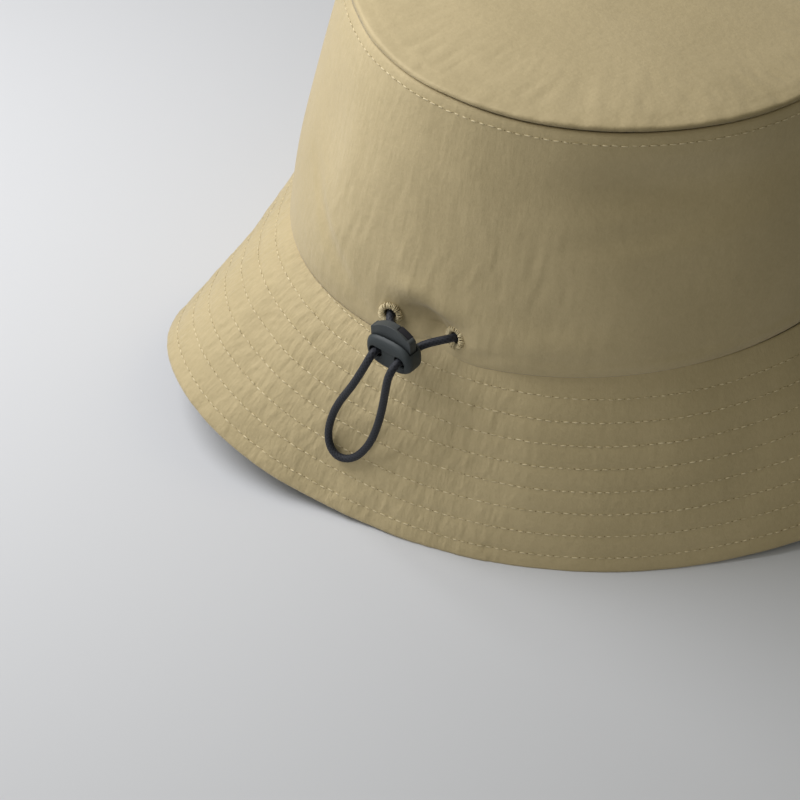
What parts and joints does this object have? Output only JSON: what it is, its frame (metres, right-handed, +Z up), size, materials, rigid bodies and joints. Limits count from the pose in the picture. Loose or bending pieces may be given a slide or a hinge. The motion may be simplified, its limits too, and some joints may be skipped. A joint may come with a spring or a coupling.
{
  "type": "fishing hat",
  "caption": "Soft bucket hat with a tall crown, a wide wavy stitched brim, and a drawcord with a cord lock at the back.",
  "frame": {"origin": "on the ground under the middle of the brim's outline, where the hat stands on its rim", "axes": "+Z up through the crown, -Y towards the front of the hat, +Y towards the drawcord at the back, +X towards the wearer's left"},
  "size_m": [0.2438, 0.2562, 0.1406],
  "materials": {
    "cloth": "thin khaki nylon, matt with a faint sheen",
    "band": "plain woven khaki band, matt",
    "thread": "light khaki sewing thread",
    "cord": "black braided elastic cord",
    "lock": "moulded slate grey plastic, satin"
  },
  "bodies": {
    "root": {"brim": "cloth", "crown_side": "cloth", "crown_top": "cloth", "inner_band": "band", "eyelet_1": "thread", "eyelet_2": "thread", "drawcord": "cord", "cord_lock_barrel": "lock"},
    "plunger": {"cord_lock_plunger": "lock"}
  },
  "joints": [
    {"name": "plunger_slide", "type": "slide", "parent": "root", "child": "plunger", "axis": [-0.0872, 0, -0.9962], "range_m": [0, 0.0012], "stiffness_N_per_m": 800, "springref_m": -0.002}
  ]
}
